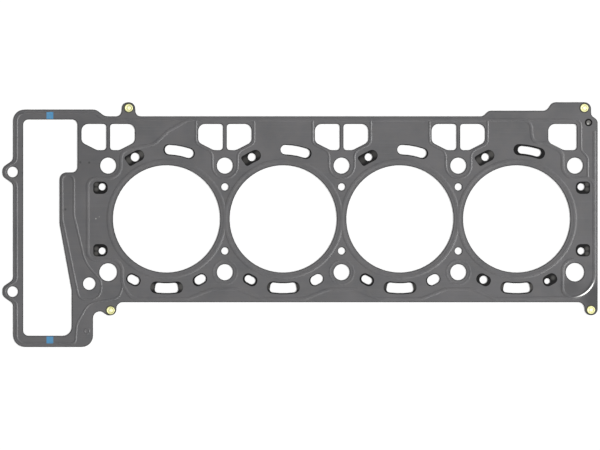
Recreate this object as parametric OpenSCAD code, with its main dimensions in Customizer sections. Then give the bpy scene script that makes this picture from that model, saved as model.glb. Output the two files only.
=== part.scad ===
// Multi-layer steel cylinder head gasket for one bank of four cylinders, with the timing case frame.
// X runs along the row of bores, Y across it towards the port side, Z up towards the cylinder head.
// The origin is the centre of the head bolt pattern, on the plane that the block-side beads touch.

/* [Cylinder bores] */
// Diameter of the bore openings in the inner layer
bore_d = 90.2; // [88:0.2:91]
// Width of the web between one bore and the next
bore_web = 7.8; // [7:0.1:10.8]
// Plain lip between the edge of a bore and its bead
bore_lip = 1.5; // [1:0.1:1.8]
// Width of the bead round a bore, foot to foot
bore_bead_w = 3.6; // [2.8:0.1:4]
// Width of the flat crest of a bore bead
bore_bead_crest = 1.2; // [0.6:0.1:1.6]

/* [Layers] */
// Thickness of each beaded spring steel layer
sheet_t = 0.25; // [0.2:0.01:0.3]
// Thickness of the inner carrier layer
inner_t = 0.45; // [0.3:0.05:0.6]
// Height of the beads above the flat of their layer
bead_h = 0.2; // [0.16:0.01:0.3]
// Height of the coined stopper ring round each bore, on each face of the inner layer
stopper_h = 0.1; // [0.05:0.01:0.12]
// How far the inner layer stands out past the beaded layers at every edge
edge_step = 0.5; // [0.2:0.05:0.6]

/* [Head bolts and dowels] */
// How far inside the jacket ring's radius each row of head bolts lies
bolt_row_in = 13.45; // [12.4:0.05:14.2]
// Diameter of the head bolt holes in the inner layer
bolt_hole_d = 13.6; // [12:0.2:14.4]
// Diameter of the dowel hole beside the timing case
dowel_left_d = 15.1; // [14:0.1:15.6]
// Diameter of the dowel hole at the plain end
dowel_right_d = 15.7; // [14:0.1:16]
// Distance from a bolt hole's centre to the bead that runs round it
bolt_bead_r = 10.6; // [10:0.1:11]

/* [Coolant passages] */
// Distance from the edge of a bore to the ring about it on which its coolant passages lie
jacket_gap = 13.1; // [12.6:0.1:13.7]
// Width of the passages in the beaded layers
passage_w = 9.5; // [8.6:0.1:9.8]
// Width of the passages under the bores in the beaded layers
lower_passage_w = 10.2; // [9:0.1:10.6]
// Width of the long slots in the inner layer
metering_slot_w = 8; // [6:0.1:8.4]
// Diameter of the holes on the webs between the bores
web_hole_d = 6.2; // [5:0.1:6.6]
// Distance from the web holes and end holes to the row of head bolts
web_hole_in = 17.85; // [17.15:0.05:18.75]
// Diameter of the metering holes at the two ends
end_hole_d = 5.9; // [4:0.1:6.5]
// Distance of the end holes from the outer bolt columns
end_hole_x = 5; // [4:0.1:6]

/* [Ports] */
// Distance from a bolt column to the outer side of its ports
port_outer = 22.5; // [21:0.1:23]
// Width of the web between the two ports of a pair
port_web = 3; // [2.4:0.1:6]
// How far the single port at the plain end reaches past its bolt column
end_port_reach = 1.5; // [0.5:0.1:2]
// How far inside the jacket ring's radius the ports begin
port_dip = 0.5; // [0:0.1:0.7]
// Length of the ports, across the row of bores
port_l = 22.1; // [20.3:0.1:22.3]
// Height of the slope at the lower outer corner of a port
port_slope_h = 6.7; // [6.1:0.1:9.3]

/* [Outline] */
// Distance from the ports to the upper edge
top_margin = 6.3; // [5.8:0.1:7.2]
// Distance from the passages under the bores to the lower edge
bottom_margin = 6.6; // [6.3:0.1:8.7]
// Distance from the last bolt column to the plain end
end_margin = 18.9; // [18.2:0.1:20]
// How far the shelf near the plain end stands above the upper edge
shelf_rise = 4.7; // [2.9:0.1:6.4]
// How far the block with the upper right rivet stands above the upper edge
block_rise = 11.8; // [10.9:0.1:12.9]

/* [Timing case frame] */
// Distance from the first bolt column to the outer left side of the frame
frame_reach = 79.8; // [78:0.1:84]
// How far the frame's rail stands above the upper edge
rail_rise = 5.7; // [4.9:0.1:7.9]
// How far the frame reaches below the lower edge
frame_drop = 37.6; // [36.6:0.1:42.1]
// Width of the frame's left side
frame_side_w = 8.3; // [7.5:0.1:11]
// Width of the frame's rail and foot
frame_rail_w = 8.3; // [7.6:0.1:9]
foot_rail_w = 9.3; // [8.6:0.1:12]
// Distance from the first bolt column to the right edge of the frame's foot
foot_reach = 12.9; // [12.6:0.1:14]
// Diameter of the holes in the two ears of the frame
ear_hole_d = 9; // [7:0.1:9.4]
// Heights of the upper and the lower ear
ear_upper_y = 39.4; // [36:0.1:42]
ear_lower_y = -61.1; // [-64:0.1:-56]
// Diameter of the oil gallery hole beside the left dowel hole
gallery_hole_d = 10.6; // [9:0.1:11]

/* [Beads] */
// Width of the coolant bead, foot to foot
bead_w = 3.4; // [2.4:0.1:3.6]
// Width of the narrow beads round the timing case frame and the ports
narrow_bead_w = 2.1; // [1.6:0.1:2.2]
// Width of the flat crest of a bead, as a share of its width
bead_crest = 0.34; // [0.2:0.02:0.4]
// Height of the shallow rings round the lower head bolt holes
ring_h = 0.08; // [0.04:0.01:0.16]

/* [Rivets and marks] */
// Diameter of a rivet's head
rivet_head_d = 7.2; // [6.4:0.1:7.8]
// Height of a rivet's head over the upper layer
rivet_head_h = 0.35; // [0.25:0.05:0.5]
// Diameter of a rivet's shank
rivet_shank_d = 3.4; // [2.8:0.1:4]
// Gap all round between a rivet's shank and the layers
rivet_gap = 0.05; // [0.02:0.01:0.2]
// Diameter of the round clearance about the clinch stud
clinch_d = 6.4; // [5.6:0.1:6.6]
// Diameter of the clinch stud
clinch_stud_d = 3.6; // [3:0.1:4.4]
// Width and length of a painted mark
mark_w = 5.7; // [4:0.1:8]
mark_l = 5.8; // [4:0.1:6.6]
// Thickness of the paint
paint_t = 0.06; // [0.03:0.01:0.1]

/* [Hidden] */
$fn = 96;
// Largest angle between two points of a rounded corner, of a slot's end and along the ring round a bore
arc_step = 15;
slot_step = 22.5;
ring_step = 6;
over = 1;
// How far a bead's flanks run on past the face of the sheet
sink = 0.02;
// How far the steps of a bead's corner stand off its arc
chord_gap = 0.08;
// How far a stopper ends before the foot of its bead
stopper_inset = 0.3;

// Levels of the layers, from the block side up
lower_z = bead_h;
inner_z = lower_z + sheet_t;
upper_z = inner_z + inner_t;
upper_top_z = upper_z + sheet_t;

// Columns of head bolts, and the bores that lie midway between them
bore_pitch = bore_d + bore_web;
cols = [for (i = [-2:2]) i * bore_pitch];
bores = [for (i = [0:3]) (cols[i] + cols[i + 1]) / 2];
first_x = cols[0];
last_x = cols[4];
frame_x = first_x - frame_reach;
end_x = last_x + end_margin;
foot_x = first_x - foot_reach;

// Ring of the coolant passages, and what keeps its distance from it
jacket_r = bore_d / 2 + jacket_gap;
bolt_row_y = jacket_r - bolt_row_in;
web_hole_y = bolt_row_y - web_hole_in;
port_bottom_y = jacket_r - port_dip;
port_knee_y = port_bottom_y + port_slope_h;
port_top_y = port_bottom_y + port_l;
top_edge_y = port_top_y + top_margin;
bottom_edge_y = -jacket_r - lower_passage_w / 2 - bottom_margin;
shelf_y = top_edge_y + shelf_rise;
block_top_y = top_edge_y + block_rise;
rail_y = top_edge_y + rail_rise;
frame_bottom_y = bottom_edge_y - frame_drop;

// Rivets
rivets = [
    [first_x + 17.1, top_edge_y + 7.1],
    [last_x + 7.7, block_top_y - 4.7],
    [first_x + 1.9, bottom_edge_y - 6.9],
    [end_x - 5.6, bottom_edge_y - 6.5]
];
clinch = [end_x - 7.6, top_edge_y - 5.1];
gallery = [first_x - 15.9, bottom_edge_y + 15.5];
dimple = [foot_x - 5.1, frame_bottom_y + 13.3];
dimple_r = 2;
dimple_w = 1.6;
mark_x = frame_x + 30.8;
upper_mark_y = rail_y - frame_rail_w + edge_step;
lower_mark_y = frame_bottom_y + foot_rail_w - edge_step - mark_l;

// Sizes of the metering openings in the inner layer, one for each bore from the timing case on
upper_hole_d = [7.3, 6.7, 6.4, 6.4];
upper_slot_w = [metering_slot_w, metering_slot_w, metering_slot_w, metering_slot_w - 1.6];
upper_slot_l = [24.6, 25, 25, 19.8];
upper_slot_mid = [79.4, 80, 80, 79.3];
under_slot_l = [19.3, 22.2, 22.2, 22.2];
left_slot = [[10.4, 6.9], [9.5, 6.2], [9.5, 6.2], [6.7, 6.7]];
right_slot = [[10, 7.2], [11, 8], [11, 8], [4.8, 4.8]];
right_slot_at = [-60.9, -61.1, -61.2, -63.9];

// Directions of the passages round a bore, anticlockwise from the X axis
long_at = 79.5;
tilted_at = 117.1;
metering_at = 117;
lower_left_at = -118.6;
lower_right_at = -61.4;
under_at = -90;

// Paths are lists of corners [x, y, radius], anticlockwise where they close
function heading(a, b) = atan2(b[1] - a[1], b[0] - a[0]);
function wrapped(t) = t > 180 ? t - 360 : (t < -180 ? t + 360 : t);
function at(angle, r) = [r * cos(angle), r * sin(angle)];

// One rounded corner as [start of its arc, centre, heading in, angle turned, radius]
function corner(a, b, c) = let (
        into = heading(a, b),
        turned = wrapped(heading(b, c) - into),
        side = sign(turned),
        start = [b[0], b[1]] - at(into, b[2] * tan(abs(turned) / 2)),
        centre = start + at(into + side * 90, b[2])
    ) [start, centre, into, turned, b[2]];

function corners(path) = let (n = len(path))
    [for (i = [0:n - 1]) corner(path[(i + n - 1) % n], path[i], path[(i + 1) % n])];

function arc(centre, r, from, turned, step = arc_step) = let (n = max(1, ceil(abs(turned) / step)))
    [for (k = [0:n]) centre + at(from + turned * k / n, r)];

// The points of a closed path with its corners rounded
function rounded(path) = [
    for (c = corners(path), p = arc(c[1], c[4], c[2] - sign(c[3]) * 90, c[3])) p
];

// A closed path with each side moved outwards, and its radii with it
function grown(path, d) = let (n = len(path)) [
    for (i = [0:n - 1]) let (
            a = path[(i + n - 1) % n],
            b = path[i],
            c = path[(i + 1) % n],
            n1 = at(heading(a, b) - 90, 1),
            n2 = at(heading(b, c) - 90, 1),
            turned = wrapped(heading(b, c) - heading(a, b)),
            shift = (n1 + n2) * d / (1 + n1 * n2)
        ) [b[0] + shift[0], b[1] + shift[1], b[2] + sign(turned) * d]
];

function mirrored(path, x) = [for (i = [len(path) - 1:-1:0]) [2 * x - path[i][0], path[i][1], path[i][2]]];

// Outline of the inner layer
function ear(y) = [
    [frame_x, y + 9.9, 5],
    [frame_x - 9, y + 3.7, 5.5],
    [frame_x - 9, y - 3.7, 5.5],
    [frame_x, y - 9.9, 5]
];
notch_y = rivets[2][1] - 0.8;
rivet_low_y = rivets[2][1] - 4.2;
end_ear_y = rivets[3][1] - 4.4;
ear_top_y = rivets[0][1] + 4.7;
outline = concat(
    [[frame_x, rail_y, 9.5]],
    ear(ear_upper_y),
    ear(ear_lower_y),
    [
        [frame_x, frame_bottom_y, 9.8],
        [foot_x, frame_bottom_y, 9.3],
        [foot_x, notch_y, 5.8],
        [foot_x + 7.5, notch_y, 4],
        [rivets[2][0] - 2.5, rivet_low_y, 4.4],
        [rivets[2][0] + 4.8, rivet_low_y, 4.9],
        [rivets[2][0] + 4.8, bottom_edge_y, 5.5],
        [rivets[3][0] - 5.2, bottom_edge_y, 5.5],
        [rivets[3][0] - 5.2, end_ear_y, 5.1],
        [end_x, end_ear_y, 5.1],
        [end_x, top_edge_y - 3.1, 4.5],
        [end_x - 5.5, top_edge_y + 0.8, 4],
        [end_x - 5.5, block_top_y, 5.4],
        [last_x - 18.9, block_top_y, 5.3],
        [last_x - 23.8, shelf_y, 5.3],
        [cols[3] + 25.6, shelf_y, 5],
        [cols[3] + 20.9, top_edge_y, 5],
        [rivets[0][0] + 6, top_edge_y, 4.5],
        [rivets[0][0] + 5.1, ear_top_y, 5.1],
        [rivets[0][0] - 5.3, ear_top_y, 5.1],
        [rivets[0][0] - 6.1, top_edge_y, 4.5],
        [first_x - 2.9, top_edge_y, 8],
        [first_x - 10.2, rail_y, 8]
    ]
);

// The timing case opening, with the pillar that leans in beside the first bore
pillar_x = first_x - 40.8;
pillar_foot_x = first_x - 30.6;
web_x = first_x - port_outer - 3.3;
pillar_top_y = ear_upper_y - 0.4;
case_window = [
    [frame_x + frame_side_w, rail_y - frame_rail_w, 4.3],
    [frame_x + frame_side_w, frame_bottom_y + foot_rail_w, 4.5],
    [pillar_foot_x, frame_bottom_y + foot_rail_w, 7.5],
    [pillar_foot_x, bottom_edge_y + 9.9, 12],
    [pillar_x, -4, 12],
    [pillar_x, pillar_top_y, 6],
    [web_x, pillar_top_y, 4.5],
    [web_x, rail_y - frame_rail_w, 4.5]
];

// A port to the right of a bolt column, from the given distance to it
function port(x, from) = [
    [x + from, port_top_y, 2.6],
    [x + from, port_bottom_y, 2.8],
    [x + 9.4, port_bottom_y, 6],
    [x + port_outer, port_knee_y, 5],
    [x + port_outer, port_top_y, 5.8]
];
ports = concat(
    [for (i = [0:3]) port(cols[i], port_web / 2)],
    [for (i = [0:3]) mirrored(port(cols[i], port_web / 2), cols[i])],
    [mirrored(port(last_x, -end_port_reach), last_x)]
);

// The window over a metering hole at an end of the gasket, squarer on its outer side
function end_window(y) = [
    [last_x + 0.5, y + 5.2, 4.4],
    [last_x + 0.5, y - 5.2, 4.4],
    [last_x + 12.6, y - 5.2, 3],
    [last_x + 12.6, y + 5.2, 3]
];

// A slot along the jacket ring of a bore, with its own corner radius at each end
function ring_slot(x, mid, length, width, from_r, to_r) = let (
        span = length / jacket_r * 180 / PI,
        a = mid - span / 2,
        b = mid + span / 2,
        ro = jacket_r + width / 2,
        ri = jacket_r - width / 2,
        s = min(from_r, width / 2 - 0.05),
        e = min(to_r, width / 2 - 0.05),
        ao = a + asin(s / (ro - s)),
        ai = a + asin(s / (ri + s)),
        bo = b - asin(e / (ro - e)),
        bi = b - asin(e / (ri + e)),
        c = [x, 0]
    ) concat(
        arc(c + at(ao, ro - s), s, a - 90, ao - a + 90, slot_step),
        arc(c, ro, ao, bo - ao, ring_step),
        arc(c + at(bo, ro - e), e, bo, b + 90 - bo, slot_step),
        arc(c + at(bi, ri + e), e, b + 90, bi + 90 - b, slot_step),
        arc(c, ri, bi, ai - bi, ring_step),
        arc(c + at(ai, ri + s), s, ai + 180, a + 90 - ai, slot_step)
    );

module hole(x, y, d) {
    translate([x, y]) circle(d = d);
}

// Round holes that pass through every layer, wider by g on each side in the beaded layers
module shared_holes(g) {
    for (x = bores) hole(x, 0, bore_d + 2 * g);
    for (x = cols) hole(x, bolt_row_y, bolt_hole_d + 2 * g);
    for (i = [1:3]) hole(cols[i], -bolt_row_y, bolt_hole_d + 2 * g);
    hole(first_x, -bolt_row_y, dowel_left_d + 2 * g);
    hole(last_x, -bolt_row_y, dowel_right_d + 2 * g);
    for (i = [1:3], s = [-1, 1]) hole(cols[i], s * web_hole_y, web_hole_d + 2 * g);
    for (y = [ear_upper_y, ear_lower_y]) hole(frame_x - 0.4, y, ear_hole_d + 2 * g);
    hole(gallery[0], gallery[1], gallery_hole_d + 2 * g);
    for (p = rivets) hole(p[0], p[1], rivet_shank_d + 2 * rivet_gap);
}

// What both kinds of layer share: the outline, the case opening, the ports and the round holes
module layer_blank(g) {
    difference() {
        polygon(rounded(grown(outline, -g)));
        polygon(rounded(grown(case_window, g)));
        for (p = ports) polygon(rounded(grown(p, g)));
        shared_holes(g);
    }
}

// Passages in the beaded layers, all of one size on every bore
module open_passages() {
    for (x = bores) {
        polygon(ring_slot(x, long_at, 26.9, passage_w, passage_w / 2, passage_w / 2));
        polygon(ring_slot(x, tilted_at, 16.2, passage_w, passage_w / 2, 2));
        polygon(ring_slot(x, lower_left_at, 12.5, passage_w - 0.3, 4.2, 4.2));
        polygon(ring_slot(x, lower_right_at, 12.5, passage_w - 0.3, 4.2, 4.2));
        polygon(ring_slot(x, under_at, 27.8, lower_passage_w, lower_passage_w / 2, lower_passage_w / 2));
    }
    for (y = [-web_hole_y + 0.6, web_hole_y - 0.7]) {
        polygon(rounded(end_window(y)));
        polygon(rounded(mirrored(end_window(y), 0)));
    }
    hole(clinch[0], clinch[1], clinch_d);
}

// Metering openings in the inner layer, which set the flow at each bore
module metering_openings() {
    for (i = [0:3]) {
        polygon(ring_slot(bores[i], upper_slot_mid[i], upper_slot_l[i], upper_slot_w[i], 4, 4));
        polygon(ring_slot(bores[i], under_at, under_slot_l[i], metering_slot_w + 0.3, 2.6, 2.6));
        translate([bores[i], 0] + at(metering_at, jacket_r)) circle(d = upper_hole_d[i]);
    }
    for (i = [0:2]) {
        polygon(ring_slot(bores[i], lower_left_at, left_slot[i][0], left_slot[i][1], 4, 4));
        polygon(ring_slot(bores[i], right_slot_at[i], right_slot[i][0], right_slot[i][1], 4, 4));
    }
    translate([bores[3], 0] + at(lower_left_at, jacket_r)) circle(d = left_slot[3][0]);
    translate([bores[3], 0] + at(right_slot_at[3], jacket_r)) circle(d = right_slot[3][0]);
    for (sx = [-1, 1], sy = [-1, 1]) hole(sx * (last_x + end_hole_x), sy * web_hole_y, end_hole_d);
}

// Beads are ridges with a matching groove beneath, so the sheet keeps its thickness.
// Section of a bead, anticlockwise: x across the run, y up. Its flanks reach past the face of the sheet by
// sink, so that they meet it cleanly.
function bead_section(w, h, groove) = let (
        face = groove ? 0 : sheet_t,
        crest = w * bead_crest / 2,
        spread = w / 2 + sink * (w / 2 - crest) / h
    ) [[-spread, face - sink], [spread, face - sink], [crest, face + h], [-crest, face + h]];

// The middle line of a bead as points, with its corners turned in small steps
function turned_points(c) = arc(c[1], c[4], c[2] - sign(c[3]) * 90, c[3], 2 * acos(1 - chord_gap / c[4]));
function place(p) = [p[0], p[1]];
function bead_line(path, closed) = let (n = len(path), all = corners(path), inner = [1:1:n - 2])
    closed
    ? [for (c = all, p = turned_points(c)) p]
    : concat([place(path[0])], [for (i = inner, p = turned_points(all[i])) p], [place(path[n - 1])]);

// Direction across the line at one of its points, lengthened so that the two runs meet in a mitre
function across(line, i, closed) = let (
        n = len(line),
        back = closed || i > 0 ? line[(i + n - 1) % n] : 2 * line[0] - line[1],
        on = closed || i < n - 1 ? line[(i + 1) % n] : 2 * line[n - 1] - line[n - 2],
        n1 = at(heading(back, line[i]) - 90, 1),
        n2 = at(heading(line[i], on) - 90, 1)
    ) (n1 + n2) / (1 + n1 * n2);

// A bead along a path, as one solid swept from point to point
module bead_run(path, w, groove, closed = false) {
    line = bead_line(path, closed);
    section = bead_section(w, bead_h, groove);
    n = len(line);
    m = len(section);
    points = [
        for (i = [0:n - 1]) let (side = across(line, i, closed))
            for (p = section) [line[i][0] + side[0] * p[0], line[i][1] + side[1] * p[0], p[1]]
    ];
    last = closed ? n - 1 : n - 2;
    walls = [
        for (i = [0:last], j = [0:m - 1]) let (a = i * m, b = (i + 1) % n * m, k = (j + 1) % m)
            [a + j, a + k, b + k, b + j]
    ];
    ends = closed ? [] : [[for (j = [m - 1:-1:0]) j], [for (j = [0:m - 1]) (n - 1) * m + j]];
    polyhedron(points, concat(walls, ends));
}

module bead_ring(x, y, r, w, h, groove) {
    translate([x, y, 0]) rotate_extrude() translate([r, 0]) polygon(bead_section(w, h, groove));
}

// The bead round a bore, with the lip that lies on the stopper
module bore_bead(x, groove) {
    edge = bore_d / 2 + edge_step;
    foot = edge + bore_lip;
    slope = (bore_bead_w - bore_bead_crest) / 2;
    base = groove ? -over : sheet_t / 2;
    level = groove ? 0 : sheet_t;
    inner = groove ? edge - over : edge;
    translate([x, 0, 0]) rotate_extrude($fn = 180) polygon([
        [inner, base],
        [foot + bore_bead_w, base],
        [foot + bore_bead_w, level],
        [foot + bore_bead_w - slope, level + bead_h],
        [foot + slope, level + bead_h],
        [foot, level + stopper_h],
        [inner, level + stopper_h]
    ]);
}

// Lines that the middle of each bead follows, and how far in from the edge they keep
frame_inset = 2.9;
plate_inset = 2.8;
under_bolt_y = bolt_row_y - bolt_bead_r;
over_dowel_y = -under_bolt_y;
top_line_y = top_edge_y - frame_inset;
bottom_line_y = bottom_edge_y + plate_inset;
left_line_x = first_x - 17.3;
right_line_x = end_x - plate_inset;
port_line = port_outer + 1.9;
port_turn_y = port_knee_y - 1.2;
leg_turn_y = port_bottom_y - 1.4;
wave_y = bottom_line_y + 8.2;
bolt_ring_r = bolt_bead_r - 0.6;

// The rise of the coolant bead under a bolt column
function wave(x) = [
    [x - 31, bottom_line_y, 16],
    [x - 11, wave_y, 16],
    [x + 11, wave_y, 16],
    [x + 31, bottom_line_y, 16]
];

// Round all the bores and their passages
coolant_path = concat(
    [
        [left_line_x, under_bolt_y, 6.5],
        [left_line_x, over_dowel_y, 6.5],
        [first_x + 11.7, over_dowel_y, 9],
        [first_x + 11.7, bottom_edge_y + 14.9, 14],
        [first_x + 19.5, bottom_line_y, 9]
    ],
    wave(cols[1]),
    wave(cols[2]),
    wave(cols[3]),
    [
        [right_line_x, bottom_line_y + 1.2, 20],
        [right_line_x, under_bolt_y, 6.5],
        [last_x - bolt_bead_r, under_bolt_y, bolt_bead_r],
        [last_x - bolt_bead_r, leg_turn_y, 7],
        [last_x - port_line - 1.5, port_turn_y + 0.6, 8],
        [last_x - 35.8, port_knee_y, 6],
        [last_x - 37.5, top_line_y, 7],
        [cols[1] - 31.5, top_line_y, 10],
        [bores[0] + 1, port_top_y - 6.1, 14],
        [bores[0] - 10.2, port_knee_y - 1.5, 12],
        [first_x + bolt_bead_r, port_bottom_y - 0.6, 8],
        [first_x + bolt_bead_r, under_bolt_y, bolt_bead_r]
    ]
);

// Between the right dowel hole and the coolant
dowel_path = [
    [last_x - 2.5, bottom_line_y + 0.5, 0],
    [last_x - bolt_bead_r, bottom_line_y + 5, 6],
    [last_x - bolt_bead_r, over_dowel_y, 9],
    [last_x - 1, over_dowel_y, 0]
];

// Round a pair of ports and down about the bolt hole between them
function port_path(x) = [
    [x - port_line, top_line_y, 0],
    [x - port_line, port_turn_y, 5],
    [x - bolt_bead_r, leg_turn_y, 7],
    [x - bolt_bead_r, under_bolt_y, bolt_bead_r - 0.1],
    [x + bolt_bead_r, under_bolt_y, bolt_bead_r - 0.1],
    [x + bolt_bead_r, leg_turn_y, 7],
    [x + port_line, port_turn_y, 5],
    [x + port_line, top_line_y, 0]
];

// Down the plain end beside the single port, and on along the edge
end_port_line = last_x + end_port_reach + 3.4;
end_port_path = [
    [last_x - 40, top_line_y, 0],
    [end_port_line, top_line_y, 5],
    [end_port_line, port_bottom_y, 6],
    [last_x + bolt_bead_r, bolt_row_y + 7, 6],
    [last_x + bolt_bead_r, under_bolt_y, 0]
];
end_side_path = [
    [right_line_x, under_bolt_y - 6, 0],
    [right_line_x, port_top_y - 6, 0]
];

// From the top line round the timing case frame, and from its foot up to the coolant bead
frame_line_x = frame_x + frame_inset;
function ear_line(y) = [
    [frame_line_x, y + 9.2, 5],
    [frame_x - 6.9, y + 2.9, 4.5],
    [frame_x - 6.9, y - 2.9, 4.5],
    [frame_line_x, y - 9.2, 5]
];
frame_path = concat(
    [
        [cols[1] - 31, top_line_y, 0],
        [first_x - 3.9, top_line_y, 10.9],
        [first_x - 11.2, rail_y - frame_inset, 5.1],
        [frame_line_x, rail_y - frame_inset, 6.5]
    ],
    ear_line(ear_upper_y),
    ear_line(ear_lower_y),
    [
        [frame_line_x, frame_bottom_y + frame_inset, 6.5],
        [first_x - 27.8, frame_bottom_y + frame_inset, 3.5],
        [first_x - 26.4, frame_bottom_y + 19.5, 12],
        [first_x - 16.5, bottom_edge_y - 0.8, 12],
        [first_x - 6, bottom_edge_y + 0.6, 20],
        [first_x + 9, bottom_edge_y + 3.5, 8],
        [first_x + 12.3, bottom_edge_y + 13.9, 0]
    ]
);

// Round the pillar and the oil gallery hole
pillar_line_y = pillar_top_y - 2.1;
pillar_right_x = pillar_x + 11.9;
gallery_right_x = gallery[0] + 9.9;
gallery_low_y = gallery[1] - 13.2;
pillar_path = [
    [pillar_x + 1.9, pillar_line_y, 4],
    [pillar_x + 2.2, 0, 20],
    [gallery[0] - 8.6, gallery_low_y, 6],
    [gallery_right_x, gallery_low_y, 9],
    [gallery_right_x, gallery[1] + 2.4, 8],
    [gallery[0] - 3.4, gallery[1] + 17.4, 30],
    [pillar_right_x, 3, 20],
    [pillar_right_x, pillar_line_y, 5]
];

module beads(groove) {
    for (x = bores) bore_bead(x, groove);
    bead_run(coolant_path, bead_w, groove, true);
    bead_run(dowel_path, bead_w - 0.2, groove);
    for (i = [1:3]) bead_run(port_path(cols[i]), narrow_bead_w, groove);
    bead_run(end_port_path, narrow_bead_w, groove);
    bead_run(end_side_path, bead_w - 0.2, groove);
    bead_run(frame_path, narrow_bead_w, groove);
    bead_run(pillar_path, narrow_bead_w, groove, true);
    for (i = [1:3]) bead_ring(cols[i], -bolt_row_y, bolt_ring_r, narrow_bead_w, ring_h, groove);
    bead_ring(dimple[0], dimple[1], dimple_r, dimple_w, bead_h, groove);
}

// A beaded layer with its beads upwards and the underside of its flat at zero
module beaded_sheet() {
    difference() {
        union() {
            linear_extrude(sheet_t) difference() {
                layer_blank(edge_step);
                open_passages();
            }
            beads(false);
        }
        beads(true);
    }
}

module upper_layer() {
    color("#6b6b6b") translate([0, 0, upper_z]) beaded_sheet();
}

module lower_layer() {
    color("#646464") translate([0, 0, inner_z]) mirror([0, 0, 1]) beaded_sheet();
}

// The carrier, with a coined stopper ring on both faces round each bore and the clinch stud
module inner_layer() {
    color("#262626") translate([0, 0, inner_z]) {
        linear_extrude(inner_t) difference() {
            layer_blank(0);
            metering_openings();
        }
        for (x = bores) translate([x, 0, -stopper_h]) linear_extrude(inner_t + 2 * stopper_h)
            difference() {
                circle(r = bore_d / 2 + edge_step + bore_lip - stopper_inset);
                circle(d = bore_d);
            }
        translate([clinch[0], clinch[1], -sheet_t])
            cylinder(h = inner_t + 2 * sheet_t, d = clinch_stud_d);
    }
}

// A rivet with a dished head, set against the block side by a flared foot
module rivet(p) {
    r = rivet_head_d / 2;
    s = rivet_shank_d / 2;
    h = rivet_head_h;
    foot_z = lower_z - upper_top_z;
    foot_h = bead_h * 0.75;
    color("#e3e2b4") translate([p[0], p[1], upper_top_z]) rotate_extrude() polygon([
        [0, foot_z - foot_h],
        [r - 0.9, foot_z - foot_h],
        [r - 0.4, foot_z],
        [s, foot_z],
        [s, 0],
        [r, 0],
        [r, h * 0.4],
        [r - 0.5, h],
        [r - 1.1, h],
        [r - 1.5, h * 0.55],
        [r - 1.9, h * 0.55],
        [r - 2.3, h * 0.85],
        [0, h * 0.85]
    ]);
}

// A dab of marking paint beside the case opening, from y on, draped over the frame's bead
module colour_mark(y, line_y) {
    half = narrow_bead_w / 2;
    crest = half * bead_crest;
    edge = y + mark_l;
    folds = [for (d = [-half, -crest, crest, half]) if (line_y + d > y && line_y + d < edge) line_y + d];
    under = [
        for (v = concat([y], folds, [edge]))
            [v, bead_h * max(0, min(1, (half - abs(v - line_y)) / (half - crest)))]
    ];
    top = [for (i = [len(under) - 1:-1:0]) under[i] + [0, paint_t]];
    color("#4a8fc0") translate([mark_x - mark_w / 2, 0, upper_top_z]) rotate([90, 0, 90])
        linear_extrude(mark_w) polygon(concat(under, top));
}

upper_layer();
inner_layer();
lower_layer();
rivet(rivets[0]);  // rivet_upper_left
rivet(rivets[1]);  // rivet_upper_right
rivet(rivets[2]);  // rivet_lower_left
rivet(rivets[3]);  // rivet_lower_right
colour_mark(upper_mark_y, rail_y - frame_inset);  // colour_mark_upper
colour_mark(lower_mark_y, frame_bottom_y + frame_inset);  // colour_mark_lower
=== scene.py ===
import math

import bpy
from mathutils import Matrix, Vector


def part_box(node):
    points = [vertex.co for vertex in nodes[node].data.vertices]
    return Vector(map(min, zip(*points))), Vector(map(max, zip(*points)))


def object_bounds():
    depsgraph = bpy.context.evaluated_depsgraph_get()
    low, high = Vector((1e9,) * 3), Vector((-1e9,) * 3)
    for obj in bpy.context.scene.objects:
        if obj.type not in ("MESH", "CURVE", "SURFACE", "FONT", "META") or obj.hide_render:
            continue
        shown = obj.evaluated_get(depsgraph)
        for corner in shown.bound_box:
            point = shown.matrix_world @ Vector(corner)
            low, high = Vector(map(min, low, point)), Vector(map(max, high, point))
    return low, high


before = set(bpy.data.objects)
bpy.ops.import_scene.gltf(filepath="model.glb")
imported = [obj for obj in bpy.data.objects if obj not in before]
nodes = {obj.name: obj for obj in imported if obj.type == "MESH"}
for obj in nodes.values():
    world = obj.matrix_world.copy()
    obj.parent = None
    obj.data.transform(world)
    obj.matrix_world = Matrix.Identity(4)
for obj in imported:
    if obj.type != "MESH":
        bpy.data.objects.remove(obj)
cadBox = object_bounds()
scene = bpy.context.scene
print("frame:", len(nodes), "pieces of the gasket loaded")

mm = 0.001
top = cadBox[1].z       # the crests of the rivet heads, 0.35 mm over the upper layer's flats
rivetNames = [name for name in nodes if name.startswith("rivet_")]
markNames = [name for name in nodes if name.startswith("colour_mark_")]
rivetCentres = [tuple((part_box(name)[0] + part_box(name)[1]) / 2) for name in rivetNames]


# sRGB hex to the linear colour that the nodes take
def hexToLinear(code):
    channels = [int(code[i:i + 2], 16) / 255 for i in (1, 3, 5)]
    return [c / 12.92 if c <= 0.04045 else ((c + 0.055) / 1.055) ** 2.4 for c in channels] + [1.0]


# adds one node, sets its sockets or settings, and links what feeds it; a node stands for its first output
def addNode(tree, kind, settings=None, links=None):
    node = tree.nodes.new(kind)
    for key, value in (settings or {}).items():
        if isinstance(key, int) or key in node.inputs:
            node.inputs[key].default_value = value
        else:
            setattr(node, key, value)
    for key, source in (links or {}).items():
        output = source.outputs[0] if isinstance(source, bpy.types.Node) else source
        tree.links.new(output, node.inputs[key])
    return node


def newMaterial(name):
    material = bpy.data.materials.new(name)
    material.use_nodes = True
    material.node_tree.nodes.clear()
    return material, material.node_tree


def finishMaterial(tree, shader):
    addNode(tree, "ShaderNodeOutputMaterial", links={"Surface": shader})


# object coordinates in metres, stretched along one axis where the pattern needs it
def surfaceCoordinates(tree, stretch=(1, 1, 1)):
    place = addNode(tree, "ShaderNodeTexCoord")
    return addNode(tree, "ShaderNodeMapping", {"Scale": stretch}, {"Vector": place.outputs["Object"]})


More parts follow.
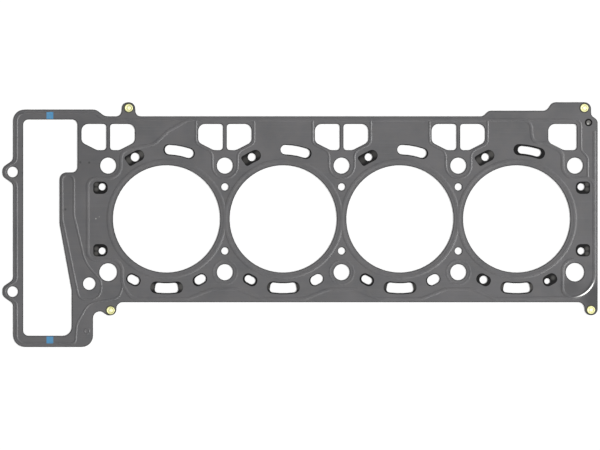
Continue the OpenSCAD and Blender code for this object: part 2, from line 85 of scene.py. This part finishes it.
# distance from the nearest of some places, in metres
def distanceTo(tree, coordinates, places):
    nearest = None
    for place in places:
        away = addNode(tree, "ShaderNodeVectorMath", {"operation": "DISTANCE", 1: place},
                       {0: coordinates}).outputs["Value"]
        if nearest is None:
            nearest = away
        else:
            nearest = addNode(tree, "ShaderNodeMath", {"operation": "MINIMUM"}, {0: nearest, 1: away})
    return nearest


# a strength that changes with the distance from the nearest place: whole at one distance, gone at another
def fadeAround(tree, coordinates, places, whole, gone, most=1.0):
    return addNode(tree, "ShaderNodeMapRange", {"interpolation_type": "SMOOTHSTEP", "From Min": whole,
                                                "From Max": gone, "To Min": most, "To Max": 0.0},
                   {"Value": distanceTo(tree, coordinates, places)})


# lays tones over a colour one after another, each as strong as its mask says
def layTones(tree, colour, layers):
    for mask, tone in layers:
        colour = addNode(tree, "ShaderNodeMix", {"data_type": "RGBA", 7: hexToLinear(tone)},
                         {0: mask, 6: colour}).outputs[2]
    return colour


def assign(material, *names):
    for name in names:
        slots = nodes[name].data.materials
        slots.clear()
        slots.append(material)


# On the bead round the lower right dowel hole, a painted highlight: a near white metallic line that stands
# in for a lamp's glint.
paintedGlint = {
    "tone": "#f4f4f1",
    "centre": (192.5 * mm, -45.5 * mm, top),
    "radius": 20.6 * mm,
    "halfWidth": 0.5 * mm,
    "blur": 0.3 * mm,
    "brightest": (205.8 * mm, -61.3 * mm, top),
    "reach": (3 * mm, 16 * mm),     # bright out to the first, and gone at the second
    "above": 0.9 * mm,              # the carrier's upper face, so that the lower layer has none
}


# the painted highlight's strength: a line along the bead, which narrows and ends away from its brightest
# place
def paintedGlintLine(tree, coordinates):
    look = paintedGlint
    outside = addNode(tree, "ShaderNodeMath", {"operation": "SUBTRACT", 1: look["radius"]},
                      {0: distanceTo(tree, coordinates, [look["centre"]])})
    offLine = addNode(tree, "ShaderNodeMath", {"operation": "ABSOLUTE"}, {0: outside})
    place = addNode(tree, "ShaderNodeSeparateXYZ", links={0: coordinates})
    upper = addNode(tree, "ShaderNodeMath", {"operation": "GREATER_THAN", 1: look["above"]},
                    {0: place.outputs["Z"]})
    along = fadeAround(tree, coordinates, [look["brightest"]], *look["reach"])
    reach = addNode(tree, "ShaderNodeMath", {"operation": "MULTIPLY"}, {0: along, 1: upper})
    width = addNode(tree, "ShaderNodeMath", {"operation": "MULTIPLY", 1: look["halfWidth"]}, {0: reach})
    past = addNode(tree, "ShaderNodeMath", {"operation": "SUBTRACT"}, {0: offLine, 1: width})
    line = addNode(tree, "ShaderNodeMapRange", {"interpolation_type": "SMOOTHSTEP",
                                                "From Min": -look["blur"], "From Max": look["blur"],
                                                "To Min": 1.0, "To Max": 0.0}, {"Value": past})
    return addNode(tree, "ShaderNodeMath", {"operation": "MULTIPLY"}, {0: line, 1: reach})


# The two beaded layers: cold rolled spring steel with a thin rubber coating, baked on.
# It looks a soft dark grey, with rolled streaks under the coat, cloudy patches and a dull satin sheen.
coatedSteel = {
    "dark": "#555557",
    "light": "#5f5e60",
    "warm": "#605d5b",
    "streakTone": "#676769",
    "ior": 1.5,
    "roughness": (0.36, 0.44),
    "roughnessSpread": (0.3, 0.7),  # a spread gives the noise values at which a change starts and ends
    "cloudSize": 34 * mm,
    "cloudSpread": (0.35, 0.65),
    "patchSize": 7 * mm,
    "patchSpread": (0.4, 0.75),
    "patchStrength": 0.45,
    "streakLength": 60 * mm,
    "streakWidth": 1.1 * mm,
    "streakSpread": (0.5, 0.8),
    "streakStrength": 0.35,
    "grainSize": 0.9 * mm,  # the coat's own grain is 0.05 mm, too fine to show, so it is drawn coarser
    "grainDepth": 0.003 * mm,
    "waveSize": 26 * mm,
    "waveDepth": 0.05 * mm,
    "footShadeTone": "#24241f",         # painted shade on the sheet round the foot of each rivet
    "footShadeFade": (3.9 * mm, 4.5 * mm),
    "footShadeStrength": 0.9,
    "shadeAndMarks": [              # centre, whole out to and gone at in millimetres, then strength and tone
        ((214, -66), 6, 18, 0.85, "#343436"),       # painted shade: the lower right corner darker
        ((193, -58), 3, 14, 0.55, "#343436"),
        ((-219, 58), 12, 45, 0.24, "#343436"),      # fainter painted shade towards the left end
        ((-290, 0), 20, 300, 0.07, "#343436"),
        ((-212, 47.3), 0.4, 1.5, 0.8, "#2e2e30"),   # dark dots in the coat
        ((-219.5, 47.5), 0.4, 1.5, 0.8, "#2e2e30"),
        ((-232, 8), 0.4, 1.5, 0.8, "#2e2e30"),
        ((-206.4, 0.2), 0.3, 0.9, 0.8, "#b4b4b0"),  # pale specks
        ((-203.5, 1.8), 0.2, 0.8, 0.5, "#a3a3a0"),
    ],
}


def makeCoatedSteel():
    look = coatedSteel
    material, tree = newMaterial("coatedSpringSteel")
    plain = surfaceCoordinates(tree)
    drawn = surfaceCoordinates(tree, (look["streakWidth"] / look["streakLength"], 1, 1))

    cloud = addNode(tree, "ShaderNodeTexNoise",
                    {"Scale": 1 / look["cloudSize"], "Detail": 3, "Roughness": 0.55}, {"Vector": plain})
    patch = addNode(tree, "ShaderNodeTexNoise",
                    {"Scale": 1 / look["patchSize"], "Detail": 4, "Roughness": 0.6}, {"Vector": plain})
    streak = addNode(tree, "ShaderNodeTexNoise",
                     {"Scale": 1 / look["streakWidth"], "Detail": 2}, {"Vector": drawn})
    wave = addNode(tree, "ShaderNodeTexNoise",
                   {"Scale": 1 / look["waveSize"], "Detail": 1}, {"Vector": plain})
    grain = addNode(tree, "ShaderNodeTexNoise",
                    {"Scale": 1 / look["grainSize"], "Detail": 3, "Roughness": 0.7}, {"Vector": plain})

    first, last = look["cloudSpread"]
    cloudMask = addNode(tree, "ShaderNodeMapRange", {"From Min": first, "From Max": last}, {"Value": cloud})
    first, last = look["patchSpread"]
    patchMask = addNode(tree, "ShaderNodeMapRange",
                        {"From Min": first, "From Max": last, "To Max": look["patchStrength"]},
                        {"Value": patch})
    first, last = look["streakSpread"]
    streakMask = addNode(tree, "ShaderNodeMapRange",
                         {"From Min": first, "From Max": last, "To Max": look["streakStrength"]},
                         {"Value": streak})
    tone = addNode(tree, "ShaderNodeMix", {"data_type": "RGBA", 6: hexToLinear(look["dark"]),
                                           7: hexToLinear(look["light"])}, {0: cloudMask})
    # the first four are painted shade, the dots and specks are marks in the coat
    shadeAndMarks = [(fadeAround(tree, plain, [(x * mm, y * mm, top)], whole * mm, gone * mm, strength), spotTone)
             for (x, y), whole, gone, strength, spotTone in look["shadeAndMarks"]]
    # painted shade round the rivets' feet
    footShade = fadeAround(tree, plain, rivetCentres, *look["footShadeFade"], look["footShadeStrength"])
    # a painted highlight along the bead round the lower right dowel hole
    glintLine = paintedGlintLine(tree, plain)
    colour = layTones(tree, tone.outputs[2], [
        (patchMask, look["warm"]),
        (streakMask, look["streakTone"]),
        *shadeAndMarks,
        (footShade, look["footShadeTone"]),
        (glintLine, paintedGlint["tone"]),
    ])

    first, last = look["roughnessSpread"]
    rough = addNode(tree, "ShaderNodeMapRange",
                    {"From Min": first, "From Max": last,
                     "To Min": look["roughness"][0], "To Max": look["roughness"][1]}, {"Value": patch})
    waveBump = addNode(tree, "ShaderNodeBump", {"Distance": look["waveDepth"]}, {"Height": wave})
    grainBump = addNode(tree, "ShaderNodeBump", {"Distance": look["grainDepth"]},
                        {"Height": grain, "Normal": waveBump})
    shader = addNode(tree, "ShaderNodeBsdfPrincipled", {"IOR": look["ior"]},
                     {"Base Color": colour, "Roughness": rough, "Metallic": glintLine, "Normal": grainBump})
    finishMaterial(tree, shader)
    return material


# The carrier between them: steel sheet, blackened in a bath, so it is nearly black and dull.
# The middle of the openings is painted paler, as painted light, and the clinch stud's crown has a painted
# highlight.
blackCarrier = {
    "black": "#070708",
    "worn": "#0e0e0e",
    "paintedLitTone": "#4d4c4a",
    "ior": 1.5,
    "specular": 0.15,       # the oxide is dull, so it shines less than paint
    "roughness": 0.5,
    "patchSize": 5 * mm,
    "patchSpread": (0.4, 0.7),
    "grainSize": 0.8 * mm,  # the oxide's own grain is too fine to show, so it is drawn coarser
    "grainDepth": 0.004 * mm,
    # places in the openings round each bore, in millimetres from it
    "boreOpenings": [(-31.6, 49.3), (-21.3, 54.5), (-12.3, -56.9), (12.3, -56.9)],
    "boreLitFade": (1.2 * mm, 3.9 * mm),
    "boreStrength": {-147: 0.9, -49: 0.5, 49: 0.45, 147: 0.85},    # the end bores' look the palest
    # places in the openings by the gasket's two ends, in millimetres
    "endOpenings": [(x, y) for x in (-206, 206) for y in (-29, -25, 25, 29)] + [(177.4, -49.4)],
    "endLitFade": (0.5 * mm, 2.9 * mm),
    "stud": "#737270",
    "studFrom": 1.02 * mm,  # only its crown rises so high
    "studHighlight": "#d0cfca",
    "studHighlightAt": (206.8 * mm, 79.9 * mm, 1.15 * mm),     # painted highlight on the lower left of the stud's crown
    "studHighlightFade": (0.3 * mm, 1.2 * mm),
    "studHighlightStrength": 0.75,
}


def makeBlackCarrier():
    look = blackCarrier
    lowest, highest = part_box("inner_layer")
    level = (lowest.z + highest.z) / 2
    material, tree = newMaterial("blackenedCarrierSteel")
    plain = surfaceCoordinates(tree)
    patch = addNode(tree, "ShaderNodeTexNoise",
                    {"Scale": 1 / look["patchSize"], "Detail": 4, "Roughness": 0.6}, {"Vector": plain})
    grain = addNode(tree, "ShaderNodeTexNoise",
                    {"Scale": 1 / look["grainSize"], "Detail": 3, "Roughness": 0.7}, {"Vector": plain})
    first, last = look["patchSpread"]
    patchMask = addNode(tree, "ShaderNodeMapRange", {"From Min": first, "From Max": last}, {"Value": patch})
    tone = addNode(tree, "ShaderNodeMix", {"data_type": "RGBA", 6: hexToLinear(look["black"]),
                                           7: hexToLinear(look["worn"])}, {0: patchMask})

    # painted light: the middle of each opening paler than its black edges
    places = [(x * mm, y * mm, level) for x, y in look["endOpenings"]]
    layers = [(fadeAround(tree, plain, places, *look["endLitFade"]), look["paintedLitTone"])]
    for bore, strength in look["boreStrength"].items():
        places = [((bore + x) * mm, y * mm, level) for x, y in look["boreOpenings"]]
        layers.append((fadeAround(tree, plain, places, *look["boreLitFade"], strength), look["paintedLitTone"]))
    place = addNode(tree, "ShaderNodeSeparateXYZ", links={0: plain})
    crown = addNode(tree, "ShaderNodeMath", {"operation": "GREATER_THAN", 1: look["studFrom"]},
                    {0: place.outputs["Z"]})
    # a painted highlight on the stud's crown
    studHighlight = fadeAround(tree, plain, [look["studHighlightAt"]], *look["studHighlightFade"], look["studHighlightStrength"])
    layers += [(crown, look["stud"]), (studHighlight, look["studHighlight"])]
    colour = layTones(tree, tone.outputs[2], layers)

    bump = addNode(tree, "ShaderNodeBump", {"Distance": look["grainDepth"]}, {"Height": grain})
    shader = addNode(tree, "ShaderNodeBsdfPrincipled",
                     {"IOR": look["ior"], "Roughness": look["roughness"],
                      "Specular IOR Level": look["specular"]}, {"Base Color": colour, "Normal": bump})
    finishMaterial(tree, shader)
    return material


# The rivets: zinc plated steel with a pale yellow passivated film, which makes them bright and warm.
# Each head has a painted highlight in its centre, and painted shade at its sloping rim.
platedRivet = {
    "pale": "#dcdbab",
    "deep": "#d0ce8d",
    "middle": "#fefdea",
    "rimShade": "#4b4936",
    "filmSize": 1.8 * mm,
    "filmSpread": (0.35, 0.7),
    "middleFade": (0.5 * mm, 1.5 * mm),
    "rimShadeFade": (3.6 * mm, 3.15 * mm),       # dark beyond the first, and not at all within the second
    "roughness": (0.42, 0.58),
    "scuffSize": 0.7 * mm,
    "scuffDepth": 0.004 * mm,
}


def makePlatedRivet():
    look = platedRivet
    material, tree = newMaterial("passivatedZincOnSteel")
    plain = surfaceCoordinates(tree)
    film = addNode(tree, "ShaderNodeTexNoise", {"Scale": 1 / look["filmSize"], "Detail": 2},
                   {"Vector": plain})
    scuff = addNode(tree, "ShaderNodeTexNoise", {"Scale": 1 / look["scuffSize"], "Detail": 2},
                    {"Vector": plain})
    first, last = look["filmSpread"]
    filmMask = addNode(tree, "ShaderNodeMapRange", {"From Min": first, "From Max": last}, {"Value": film})
    tone = addNode(tree, "ShaderNodeMix", {"data_type": "RGBA", 6: hexToLinear(look["pale"]),
                                           7: hexToLinear(look["deep"])}, {0: filmMask})
    # a painted highlight in the centre of each head, and painted shade at its rim
    colour = layTones(tree, tone.outputs[2], [
        (fadeAround(tree, plain, rivetCentres, *look["middleFade"]), look["middle"]),
        (fadeAround(tree, plain, rivetCentres, *look["rimShadeFade"]), look["rimShade"]),
    ])
    rough = addNode(tree, "ShaderNodeMapRange",
                    {"To Min": look["roughness"][0], "To Max": look["roughness"][1]}, {"Value": scuff})
    bump = addNode(tree, "ShaderNodeBump", {"Distance": look["scuffDepth"]}, {"Height": scuff})
    shader = addNode(tree, "ShaderNodeBsdfPrincipled", {"Metallic": 1.0},
                     {"Base Color": colour, "Roughness": rough, "Normal": bump})
    finishMaterial(tree, shader)
    return material


# The two marks: marking paint wiped on by hand, a little thinner in streaks, so the grey shows faintly.
markingPaint = {
    "blue": "#4789b5",
    "thin": "#5f8ca9",
    "streakLength": 9 * mm,
    "streakWidth": 0.9 * mm,
    "streakSpread": (0.45, 0.75),
    "streakDepth": 0.01 * mm,
    "ior": 1.48,
    "roughness": 0.45,
}


def makeMarkingPaint():
    look = markingPaint
    material, tree = newMaterial("wipedMarkingPaint")
    wiped = surfaceCoordinates(tree, (1, look["streakWidth"] / look["streakLength"], 1))
    streak = addNode(tree, "ShaderNodeTexNoise", {"Scale": 1 / look["streakWidth"], "Detail": 3},
                     {"Vector": wiped})
    first, last = look["streakSpread"]
    thinMask = addNode(tree, "ShaderNodeMapRange", {"From Min": first, "From Max": last}, {"Value": streak})
    colour = addNode(tree, "ShaderNodeMix", {"data_type": "RGBA", 6: hexToLinear(look["blue"]),
                                             7: hexToLinear(look["thin"])}, {0: thinMask})
    bump = addNode(tree, "ShaderNodeBump", {"Distance": look["streakDepth"]}, {"Height": streak})
    shader = addNode(tree, "ShaderNodeBsdfPrincipled", {"IOR": look["ior"], "Roughness": look["roughness"]},
                     {"Base Color": colour.outputs[2], "Normal": bump})
    finishMaterial(tree, shader)
    return material


assign(makeCoatedSteel(), "upper_layer", "lower_layer")
assign(makeBlackCarrier(), "inner_layer")
assign(makePlatedRivet(), *rivetNames)
assign(makeMarkingPaint(), *markNames)
print("materials: coated steel, black carrier, plated rivets, marking paint")

# Beads turn smoothly round their corners, while cut edges and bead feet stay crisp.
sharpFrom = {"layer": 8, "rivet": 35}       # degrees between two faces


def smoothSurface(name, degrees):
    mesh = nodes[name].data
    mesh.shade_smooth()
    mesh.set_sharp_from_angle(angle=math.radians(degrees))


for name in ("upper_layer", "lower_layer", "inner_layer"):
    smoothSurface(name, sharpFrom["layer"])
for name in rivetNames:
    smoothSurface(name, sharpFrom["rivet"])
print("surfaces: three layers and", len(rivetNames), "rivets smoothed")

# The studio: a white paper floor in white surroundings, and two soft lamps.
studio = {
    "floorSize": 5000 * mm,
    "floorTone": "#f4f4f4",
    "floorGap": 0.02 * mm,          # keeps the floor clear of the lowest faces
    "floorLift": 0.16,              # how much of the floor's white is its own, where it is seen
    "worldFill": 0.32,              # the light that the surroundings give
    "worldDim": 0.3,                # reflections are this dull from the left, and white from the right
    "worldSpread": (-0.45, 0.4),    # sideways direction where the dull part ends and the white begins
    "lamps": {                      # power, degrees across, direction it comes from
        "keyLamp": (1.75, 14, (0.80, 0.08, 1.0)),
        "fillLamp": (0.90, 16, (0.38, -0.34, 1.0)),
    },
}


# 1 for rays that look straight at a surface, or see it in metal or through glass
def seenRays(tree):
    rays = addNode(tree, "ShaderNodeLightPath")
    straightOrGlossy = addNode(tree, "ShaderNodeMath", {"operation": "MAXIMUM"},
                               {0: rays.outputs["Is Camera Ray"], 1: rays.outputs["Is Glossy Ray"]})
    return addNode(tree, "ShaderNodeMath", {"operation": "MAXIMUM"},
                   {0: straightOrGlossy, 1: rays.outputs["Is Transmission Ray"]})


def makeFloor():
    mesh = bpy.data.meshes.new("paperFloor")
    half = studio["floorSize"] / 2
    level = cadBox[0].z - studio["floorGap"]
    corners = [(-half, -half, level), (half, -half, level), (half, half, level), (-half, half, level)]
    mesh.from_pydata(corners, [], [(0, 1, 2, 3)])
    floor = bpy.data.objects.new("paperFloor", mesh)
    scene.collection.objects.link(floor)
    # white seamless paper, lit by the lamps and lifted a little where it is seen
    material, tree = newMaterial("whitePaper")
    lift = addNode(tree, "ShaderNodeMath", {"operation": "MULTIPLY", 1: studio["floorLift"]},
                   {0: seenRays(tree)})
    paper = addNode(tree, "ShaderNodeBsdfDiffuse", {"Color": hexToLinear(studio["floorTone"])})
    glow = addNode(tree, "ShaderNodeEmission", {"Color": (1, 1, 1, 1)}, {"Strength": lift})
    finishMaterial(tree, addNode(tree, "ShaderNodeAddShader", links={0: paper, 1: glow}))
    mesh.materials.append(material)


def makeWorld():
    world = bpy.data.worlds.new("whiteStudio")
    world.use_nodes = True
    scene.world = world
    tree = world.node_tree
    tree.nodes.clear()
    direction = addNode(tree, "ShaderNodeTexCoord")
    across = addNode(tree, "ShaderNodeSeparateXYZ", links={0: direction.outputs["Generated"]})
    first, last = studio["worldSpread"]
    reflected = addNode(tree, "ShaderNodeMapRange",
                        {"interpolation_type": "SMOOTHSTEP", "From Min": first, "From Max": last,
                         "To Min": studio["worldDim"]}, {"Value": across.outputs["X"]})
    rays = addNode(tree, "ShaderNodeLightPath")
    shown = addNode(tree, "ShaderNodeMath", {"operation": "MAXIMUM"},
                    {0: reflected, 1: rays.outputs["Is Camera Ray"]})
    strength = addNode(tree, "ShaderNodeMix", {"data_type": "FLOAT", 2: studio["worldFill"]},
                       {0: seenRays(tree), 3: shown})
    sky = addNode(tree, "ShaderNodeBackground", {"Color": (1, 1, 1, 1)}, {"Strength": strength})
    addNode(tree, "ShaderNodeOutputWorld", links={"Surface": sky})


# a distant lamp whose light comes from one direction, towards the origin
def makeLamp(name, power, degrees, direction):
    lamp = bpy.data.objects.new(name, bpy.data.lights.new(name, "SUN"))
    lamp.data.energy = power
    lamp.data.angle = math.radians(degrees)
    lamp.location = direction
    lamp.rotation_euler = (-Vector(direction)).to_track_quat("-Z", "Y").to_euler()
    scene.collection.objects.link(lamp)


makeFloor()
makeWorld()
for name, (power, degrees, direction) in studio["lamps"].items():
    makeLamp(name, power, degrees, direction)
print("studio: paper floor, white surroundings,", len(studio["lamps"]), "soft lamps from the right")

# The photograph looks straight down, at the middle of the gasket's outline.
view = {
    "lens": 200,            # millimetres, and so is the width of the sensor
    "sensor": 36,
    "centre": (-35.0 * mm, -5.1 * mm),
    "height": 2800 * mm,
}

cameraData = bpy.data.cameras.new("camera")
cameraData.lens = view["lens"]
cameraData.sensor_width = view["sensor"]
camera = bpy.data.objects.new("camera", cameraData)
camera.location = (*view["centre"], view["height"])
scene.collection.objects.link(camera)
scene.camera = camera
scene.view_settings.view_transform = "Standard"
print("camera: straight down, lens", view["lens"], "mm")
